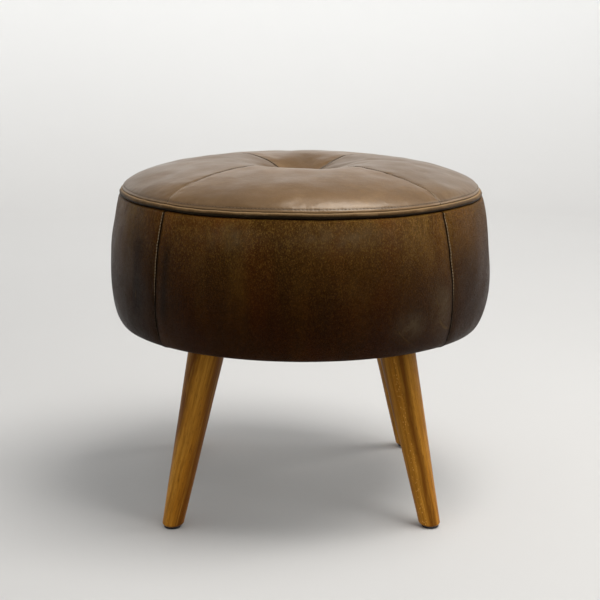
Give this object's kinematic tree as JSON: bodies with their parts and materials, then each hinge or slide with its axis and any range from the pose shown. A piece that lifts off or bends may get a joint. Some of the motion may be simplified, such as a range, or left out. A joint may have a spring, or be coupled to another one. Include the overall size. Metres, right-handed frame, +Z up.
{
  "type": "round upholstered footstool",
  "caption": "Low round upholstered footstool: a crowned, button-tufted leather top with a piped rim and a barrel side, on splayed tapered wooden legs that unscrew.",
  "frame": {"origin": "on the floor, under the centre of the seat", "axes": "+Z up, -Y the front, with the legs and the panel seams on the diagonals"},
  "size_m": [0.52, 0.52, 0.4632],
  "materials": {
    "top_leather": "satin",
    "side_leather": "satin",
    "piping_leather": "satin",
    "button_leather": "satin",
    "oak": "satin",
    "plywood": "matte",
    "pine": "matte",
    "hardboard": "matte",
    "foam": "matte",
    "batting": "matte",
    "piping_core": "matte",
    "twine": "matte",
    "dust_cloth": "matte",
    "steel": "satin",
    "yellow_steel": "satin",
    "plate_steel": "satin",
    "glide_plastic": "matte"
  },
  "bodies": {
    "seat": {"base_board": "plywood", "deck_board": "plywood", "wall_hoop": "hardboard", "hoop_nails": "steel", "frame_screws": "yellow_steel", "post_1": "pine", "post_2": "pine", "post_3": "pine", "post_4": "pine", "post_5": "pine", "post_6": "pine", "side_foam": "foam", "side_batting": "batting", "top_foam": "foam", "top_batting": "batting", "side_panel_front": "side_leather", "side_panel_right": "side_leather", "side_panel_back": "side_leather", "side_panel_left": "side_leather", "top_panel_front": "top_leather", "top_panel_right": "top_leather", "top_panel_back": "top_leather", "top_panel_left": "top_leather", "piping_cord": "piping_core", "piping_cover": "piping_leather", "button_shell": "steel", "button_cover": "button_leather", "button_eye": "steel", "tufting_twine": "twine", "twine_toggle": "pine", "cover_staples": "steel", "dust_cover": "dust_cloth", "dust_cover_staples": "steel", "leg_plate_front_left": "plate_steel", "leg_plate_front_right": "plate_steel", "leg_plate_rear_left": "plate_steel", "leg_plate_rear_right": "plate_steel", "plate_screws": "yellow_steel"},
    "leg_front_left": {"leg_front_left": "oak", "hanger_bolt_front_left": "steel", "glide_front_left": "glide_plastic", "glide_nail_front_left": "steel"},
    "leg_front_right": {"leg_front_right": "oak", "hanger_bolt_front_right": "steel", "glide_front_right": "glide_plastic", "glide_nail_front_right": "steel"},
    "leg_rear_left": {"leg_rear_left": "oak", "hanger_bolt_rear_left": "steel", "glide_rear_left": "glide_plastic", "glide_nail_rear_left": "steel"},
    "leg_rear_right": {"leg_rear_right": "oak", "hanger_bolt_rear_right": "steel", "glide_rear_right": "glide_plastic", "glide_nail_rear_right": "steel"}
  },
  "joints": [
    {"name": "leg_front_left_thread", "type": "hinge", "parent": "seat", "child": "leg_front_left", "pos_m": [-0.12268, -0.12268, 0.23821], "axis": [-0.1902, -0.1902, -0.9632], "range_deg": [0, 3240]},
    {"name": "leg_front_right_thread", "type": "hinge", "parent": "seat", "child": "leg_front_right", "pos_m": [0.12268, -0.12268, 0.23821], "axis": [0.1902, -0.1902, -0.9632], "range_deg": [0, 3240]},
    {"name": "leg_rear_left_thread", "type": "hinge", "parent": "seat", "child": "leg_rear_left", "pos_m": [-0.12268, 0.12268, 0.23821], "axis": [-0.1902, 0.1902, -0.9632], "range_deg": [0, 3240]},
    {"name": "leg_rear_right_thread", "type": "hinge", "parent": "seat", "child": "leg_rear_right", "pos_m": [0.12268, 0.12268, 0.23821], "axis": [0.1902, 0.1902, -0.9632], "range_deg": [0, 3240]}
  ]
}
